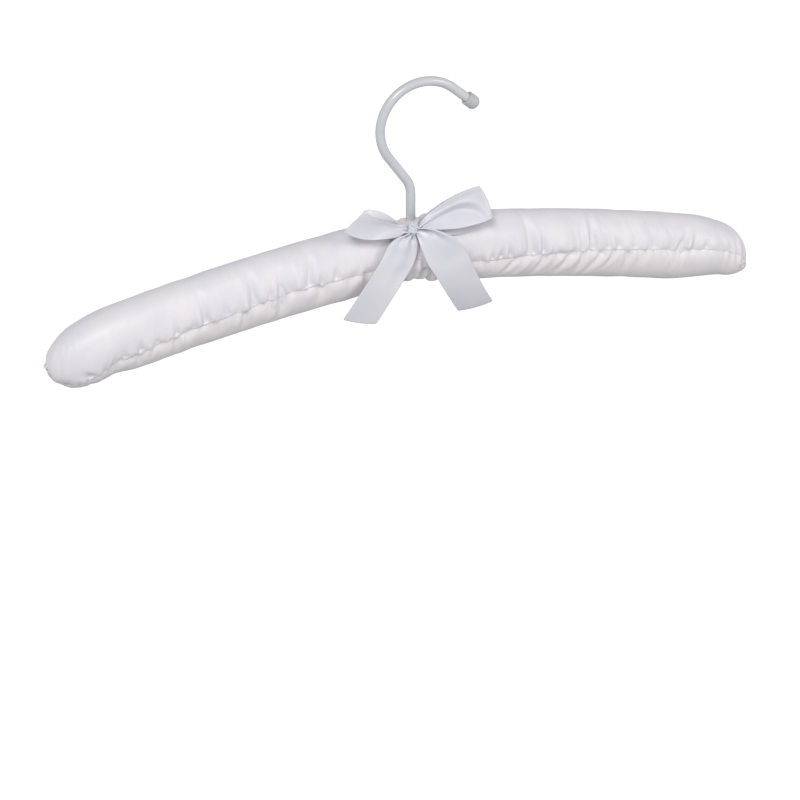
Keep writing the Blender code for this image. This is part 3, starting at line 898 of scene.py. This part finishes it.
def make_cap():
    """A moulded cap with a rounded rim, pushed over the sleeve's end."""
    rim = 0.00055
    bore = SLEEVE_RADIUS + 0.00006
    rise = 0.0030
    profile = [(bore, CAP_DEPTH), (bore, rim)]
    middle = (bore + CAP_RADIUS) / 2
    half = (CAP_RADIUS - bore) / 2
    for step in range(7):
        angle = math.pi * step / 6
        profile.append((middle - half * math.cos(angle), rim - rim * math.sin(angle)))
    dome = CAP_LENGTH - rise
    profile += [(CAP_RADIUS + 0.00005, rim * 2), (CAP_RADIUS, dome * 0.6), (CAP_RADIUS, dome)]
    for step in range(1, 10):
        angle = math.pi / 2 * step / 9.3
        profile.append((CAP_RADIUS * math.cos(angle), dome + rise * math.sin(angle)))
    path = hook_path(CAP_START)
    base = path[-1]
    ahead = (path[-1] - path[-2]).normalized()
    right = Vector((0.0, 1.0, 0.0))
    other = ahead.cross(right)
    points = [ring(base + ahead * height, right, other, radius, 40) for radius, height in profile]
    mesh = grid_mesh("hook_tip_cap_moulded", points, (0.0004, 0.0005), closed_across=True)
    close_ends(mesh)
    subdivide(piece(mesh, "cap", "hook", "hook_tip_cap"))


# Bow. Each row of a strip is a point on its upper or right edge, then one on the other edge, in mm.

LOOP_RIGHT = (
    (-1.2, -12.3, 17.4, -1.4, -12.7, 13.6), (2.6, -11.6, 20.6, 3.4, -14.2, 14.9),
    (8.6, -10.9, 24.0, 10.4, -15.8, 14.3), (16.3, -9.6, 27.4, 18.4, -17.0, 14.1),
    (25.0, -8.2, 29.8, 26.5, -17.2, 14.7), (31.4, -7.2, 30.6, 34.0, -16.6, 15.6),
    (33.9, -6.4, 30.4, 37.4, -15.5, 16.0), (31.8, -5.0, 29.6, 34.2, -14.2, 13.4),
    (25.6, -4.4, 28.0, 26.2, -13.2, 9.9), (17.6, -4.6, 25.3, 17.6, -13.0, 9.2),
    (9.8, -5.4, 21.9, 9.6, -13.1, 10.2), (3.0, -8.0, 19.2, 3.2, -12.6, 12.6),
    (-1.2, -10.4, 16.8, -1.2, -11.7, 13.6),
)
LOOP_LEFT = (
    (-6.9, -12.0, 17.8, -7.4, -12.6, 13.6), (-10.6, -10.8, 18.6, -12.4, -14.5, 13.6),
    (-15.2, -8.8, 20.2, -19.0, -16.4, 14.2), (-19.8, -7.0, 22.4, -27.0, -17.5, 15.3),
    (-23.8, -5.4, 24.4, -35.4, -17.6, 17.8), (-26.2, -4.0, 25.2, -41.2, -15.6, 21.2),
    (-23.2, -3.2, 25.3, -37.4, -14.2, 19.4), (-18.2, -4.2, 24.2, -29.0, -14.4, 15.4),
    (-13.8, -6.2, 21.8, -20.0, -13.8, 13.6), (-10.2, -9.2, 18.4, -12.6, -12.8, 13.2),
    (-6.9, -10.6, 16.8, -7.4, -11.4, 13.8),
)
TAIL_RIGHT = (
    (-1.8, -13.0, 16.8, -2.0, -13.0, 13.0), (4.5, -15.0, 16.9, -1.2, -14.0, 9.9),
    (10.5, -16.8, 14.6, -0.3, -15.0, 5.5), (16.0, -17.9, 11.0, 1.3, -15.8, 0.2),
    (20.7, -18.4, 4.6, 3.6, -16.4, -4.6), (24.5, -18.7, -3.5, 7.5, -17.2, -11.4),
    (31.3, -17.0, -16.8, 13.6, -15.7, -21.5), (39.3, -13.7, -29.9, 20.6, -12.8, -32.6),
)
TAIL_LEFT = (
    (-3.6, -12.8, 12.2, -7.2, -12.8, 13.2), (-2.4, -13.8, 9.4, -13.0, -14.2, 12.9),
    (-2.6, -14.8, 4.8, -17.6, -15.8, 10.8), (-4.6, -16.0, -0.6, -21.0, -17.0, 5.8),
    (-8.6, -17.2, -6.4, -25.4, -17.8, -0.4), (-16.0, -18.3, -16.0, -33.6, -18.5, -11.3),
    (-24.6, -15.4, -31.0, -42.4, -16.3, -25.4),
)


def between(stations, share):
    """Point on a smooth curve through the stations."""
    last = len(stations) - 1
    index = min(int(share * last), last - 1)
    t = share * last - index
    near = (stations[min(max(index + k, 0), last)] for k in range(-1, 3))
    before, first, second, after = near
    return (
        first
        + (second - before) * (t / 2)
        + (before * 2 - first * 5 + second * 4 - after) * (t * t / 2)
        + (first * 3 - before - second * 3 + after) * (t**3 / 2)
    )


def strip_length(stations):
    """Length of a ribbon along its middle."""
    middles = [between([(a + b) / 2 for a, b in stations], step / 200) for step in range(201)]
    return sum((b - a).length for a, b in zip(middles, middles[1:]))


def ribbon_strip(name, stations, relief, length, end_bow):
    """A ribbon between two edge curves, raised along its own normal by relief(along, across)."""
    uppers, lowers = zip(*stations)
    rows, columns = max(40, round(length / 0.0008)), 24
    base = np.zeros((rows + 1, columns + 1, 3))
    for i in range(rows + 1):
        for j in range(columns + 1):
            across = j / columns
            bow = end_bow * math.sin(math.pi * across)
            along = i / rows * (1 + bow)
            upper = between(uppers, min(along, 1.0))
            lower = between(lowers, min(along, 1.0))
            point = upper.lerp(lower, across)
            if along > 1.0:
                run = (between(uppers, 1.0) - between(uppers, 0.98)) / 0.02
                point += run * (along - 1.0)
            base[i, j] = point
    tangent = np.gradient(base, axis=0)
    widthwise = np.gradient(base, axis=1)
    normal = np.cross(tangent, widthwise)
    normal /= np.maximum(np.linalg.norm(normal, axis=2, keepdims=True), 1e-12)
    if normal[: rows // 3, :, 1].mean() > 0:
        normal = -normal
    for i in range(rows + 1):
        for j in range(columns + 1):
            base[i, j] += normal[i, j] * relief(i / rows, j / columns)
    return grid_mesh(name, base, (length / rows, RIBBON_WIDTH / columns))


def pleats(along, across, count, depth, fade, phase=0.0):
    """Gathers that run out from the knot and fade along the strip."""
    strength = depth * math.exp(-along / fade)
    wave = math.cos(math.tau * count * across + phase)
    return strength * (wave + 0.5 * ripple(across * count * 1.7, along * 3, phase + 5))


def crumple(along, across, seed, size=0.00025):
    """Faint unevenness of a ribbon that has been handled."""
    return size * ripple(along * 6, across * 2.2, seed)


def loop_right_relief(along, across):
    """Pleats at both ends, a low oval puff in the front and a brow above the crease round it."""
    front = along * 2
    value = pleats(along, across, 2.4, 0.0013, 0.05) - pleats(1 - along, across, 2.4, 0.0013, 0.06)
    value += 0.0012 * hump(along, 0.5, 0.035) * math.sin(math.pi * across)
    if front < 1:
        oval = math.hypot((front - 0.45) / 0.33, (1.0 - across) / 0.56)
        puff = smooth(1.18 - oval)
        crease = math.exp(-(((oval - 1.10) / 0.14) ** 2)) * smooth((1 - front) / 0.12)
        brow = smooth((oval - 1.04) / 0.32) * hump(front, 0.55, 0.32)
        brow *= 0.5 + 0.5 * smooth(across / 0.2)
        value += 0.0012 * puff - 0.0010 * crease + 0.0040 * brow
    return value + crumple(along, across, 3.0)


def loop_left_relief(along, across):
    """Both layers cup outwards, with pleats at the knot; the front one leans back at its top."""
    layer = min(along * 2, 2 - along * 2)
    value = pleats(along, across, 2.4, 0.0015, 0.06, 1.0)
    value -= pleats(1 - along, across, 2.4, 0.0021, 0.10)
    depth = 0.0028 if along < 0.5 else 0.0044
    cup = depth * hump(layer, 0.48, 0.28) * math.sin(math.pi * across)
    lean = -0.0022 * (1 - across) * hump(along, 0.30, 0.17)
    return value + cup + lean + crumple(along, across, 7.0)


def tail_right_relief(along, across):
    """An arched tail: a rolled upper edge with a groove under it, fading downwards."""
    roll = 0.0026 * hump(across, 0.05, 0.12) * smooth(1.15 - along * 2.1)
    groove = -0.0030 * hump(across, 0.27, 0.10) * hump(along, 0.09, 0.15)
    arch = 0.0150 * along * (1 - along)
    value = roll + groove + arch + pleats(along, across, 2.5, 0.0007, 0.10, 2.0)
    return value + crumple(along, across, 11.0)


def tail_left_relief(along, across):
    """Pleats at the knot over a slight belly."""
    folds = pleats(along, across, 2.1, 0.0026, 0.19, 0.6)
    belly = 0.0008 * hump(along, 0.4, 0.25) * math.sin(math.pi * across)
    return folds + belly + crumple(along, across, 15.0, 0.0003)


def make_bow():
    """The two loops and two tails, each a strip of ribbon that starts at the knot."""
    strips = (
        ("loop_right", LOOP_RIGHT, loop_right_relief, 0.0),
        ("loop_left", LOOP_LEFT, loop_left_relief, 0.0),
        ("tail_right", TAIL_RIGHT, tail_right_relief, 0.016),
        ("tail_left", TAIL_LEFT, tail_left_relief, 0.012),
    )
    for part, rows, relief, end_bow in strips:
        node = "ribbon_" + part
        stations = [(mm(*row[:3]), mm(*row[3:])) for row in rows]
        length = strip_length(stations)
        mesh = ribbon_strip(node + "_satin", stations, relief, length, end_bow)
        strip = piece(mesh, "ribbon", "arms", node)
        subdivide(strip)
        thicken(strip, RIBBON, 0.0)


def make_knot():
    """The ribbon's own turn over the middle of the bow, drawn into creases."""
    middle = mm(-4.1, -11.7, 15.4)
    half = mm(2.9, 2.7, 3.1)
    rows, columns = 40, 56
    points = []
    for i in range(rows + 1):
        across = 2 * i / rows - 1
        row = []
        for j in range(columns):
            angle = math.tau * j / columns
            bulge = (1 - abs(across) ** 3.2) ** 0.42
            crease = 0.05 * math.cos(math.tau * 1.3 * across + 2.4 * math.sin(angle))
            crease += 0.42 * ripple(across * 2.1, math.cos(angle) * 1.7, math.sin(angle) * 1.7)
            size = (0.55 + 0.45 * bulge) * (1 + crease)
            if abs(across) == 1:
                size = 0.12
            x = half.x * across * (1 - 0.10 * math.cos(angle)) + 0.0007 * math.sin(angle)
            y = -half.y * size * math.cos(angle)
            z = half.z * size * math.sin(angle)
            row.append(middle + Vector((x, y, z)))
        points.append(row)
    spacing = (2 * half.x / rows, math.tau * half.z / columns)
    mesh = grid_mesh("ribbon_knot_satin", points, spacing, closed_across=True)
    close_ends(mesh)
    subdivide(piece(mesh, "ribbon", "arms", "ribbon_knot"))


def make_neck_band():
    """The crumpled turn of ribbon round the shank, behind the knot."""
    steps, sides = 72, 20
    points = []
    for step in range(steps):
        turn = math.tau * step / steps
        outward = Vector((math.sin(turn), math.cos(turn) * 1.35, 0.0)).normalized()
        place = mm(0.0, -1.7, 13.7)
        place += mm(4.0 * math.sin(turn), 5.6 * math.cos(turn), -0.7 * math.cos(turn))
        row = []
        for k in range(sides):
            angle = math.tau * k / sides
            crease = 1 + 0.20 * math.cos(3 * angle + 1.5 * math.sin(turn * 2))
            crease += 0.25 * ripple(turn * 1.6, math.cos(angle), math.sin(angle))
            lift = Vector((0.0, 0.0, 0.0009 * crease * math.sin(angle)))
            row.append(place + outward * 0.0007 * crease * math.cos(angle) + lift)
        points.append(row)
    mesh = grid_mesh(
        "ribbon_neck_band_satin", points, (0.0004, 0.0005), closed_across=True, closed_along=True
    )
    subdivide(piece(mesh, "ribbon", "arms", "ribbon_neck_band"))


# Kept CAD nodes


def finish_cad_nodes():
    """Materials for the CAD nodes that stay as they are."""
    for name in ("core_bar", "hook_wire", "upper_washer", "lower_washer", "retaining_nut"):
        mesh = frame["nodes"][name].data
        mesh.materials.clear()
        mesh.materials.append(MATERIALS["wood" if name == "core_bar" else "steel"])


# Stage: floor, light and camera

VIEW_TURN = math.radians(21.95)
VIEW_ELEVATION = math.radians(23.27)
VIEW_DISTANCE = 1.467
AIM_RIGHT = -0.00515
AIM_UP = -0.0762
LENS = 131.9
FLOOR_REACH = 12.0
FLOOR_DROP = 0.42
FLOOR_GLOW = 0.62
WORLD_SHADES = (  # share of the way from straight down to straight up, colour
    (0.15, (0.40, 0.395, 0.41)),
    (0.53, (0.70, 0.70, 0.72)),
    (1.0, (0.22, 0.22, 0.25)),
)


def make_camera():
    """The camera at the photograph's viewing angle."""
    turn, rise = VIEW_TURN, VIEW_ELEVATION
    right = Vector((math.cos(turn), -math.sin(turn), 0.0))
    up = Vector((math.sin(turn) * math.sin(rise), math.cos(turn) * math.sin(rise), math.cos(rise)))
    camera = add_object("camera", bpy.data.cameras.new("camera"))
    camera.data.lens = LENS
    camera.location = CENTRE + right.cross(up) * VIEW_DISTANCE
    aim = CENTRE + right * AIM_RIGHT + up * AIM_UP
    camera.rotation_euler = (aim - camera.location).to_track_quat("-Z", "Y").to_euler()
    bpy.context.scene.camera = camera


def add_light(name, place, size, power, colour):
    """A square lamp at a place measured from the swivel centre, which it faces."""
    light = bpy.data.lights.new(name, "AREA")
    light.size = size
    light.energy = power
    light.color = colour
    lamp = add_object(name, light)
    lamp.location = CENTRE + Vector(place)
    lamp.rotation_euler = (-Vector(place)).to_track_quat("-Z", "Y").to_euler()


def make_world():
    """A white studio: bright all round the horizon, dimmer overhead and below."""
    world = bpy.data.worlds.new("studio")
    world.use_nodes = True
    tree = world.node_tree
    direction = add_node(tree, "ShaderNodeTexCoord").outputs["Generated"]
    rise = add_node(tree, "ShaderNodeSeparateXYZ", Vector=direction).outputs["Z"]
    shades = add_node(tree, "ShaderNodeValToRGB", Fac=ramp(tree, rise, -1.0, 1.0))
    stops = shades.color_ramp.elements
    stops.new(WORLD_SHADES[1][0])
    for stop, (place, colour) in zip(stops, WORLD_SHADES):
        stop.position = place
        stop.color = (*colour, 1.0)
    tree.links.new(shades.outputs["Color"], tree.nodes["Background"].inputs["Color"])
    bpy.context.scene.world = world


def make_stage():
    """A pale floor that lights nothing, with the studio's world and lamps."""
    floor_mesh = bpy.data.meshes.new("floor")
    shape = bmesh.new()
    bmesh.ops.create_grid(shape, x_segments=1, y_segments=1, size=FLOOR_REACH)
    shape.to_mesh(floor_mesh)
    shape.free()
    floor = add_object("floor", floor_mesh)
    floor.location = (0.0, 0.0, CENTRE.z - FLOOR_DROP)
    material, _, _ = new_material(
        "floor",
        Roughness=0.9,
        Base_Color=(0.93, 0.93, 0.93, 1.0),
        Emission_Color=(1.0, 1.0, 1.0, 1.0),
        Emission_Strength=FLOOR_GLOW,
    )
    floor_mesh.materials.append(material)
    floor.visible_diffuse = False
    floor.visible_glossy = False
    make_world()
    add_light("key", (-1.00, -1.55, 1.60), 0.8, 24.3, (1.0, 0.99, 0.985))
    add_light("front_fill", (1.3, -1.6, 0.85), 0.7, 8.5, (1.0, 0.98, 0.98))
    bpy.context.scene.view_settings.view_transform = "Standard"


make_camera()
make_stage()
finish_cad_nodes()
make_sleeve()
make_cap()
for side in SIDES:
    points, outward = make_cover(side)
    make_seam_thread(side, points, outward)
    make_gather_thread(side, points, outward)
    make_tip_knot(side, points, outward)
make_knot()
make_neck_band()
make_bow()
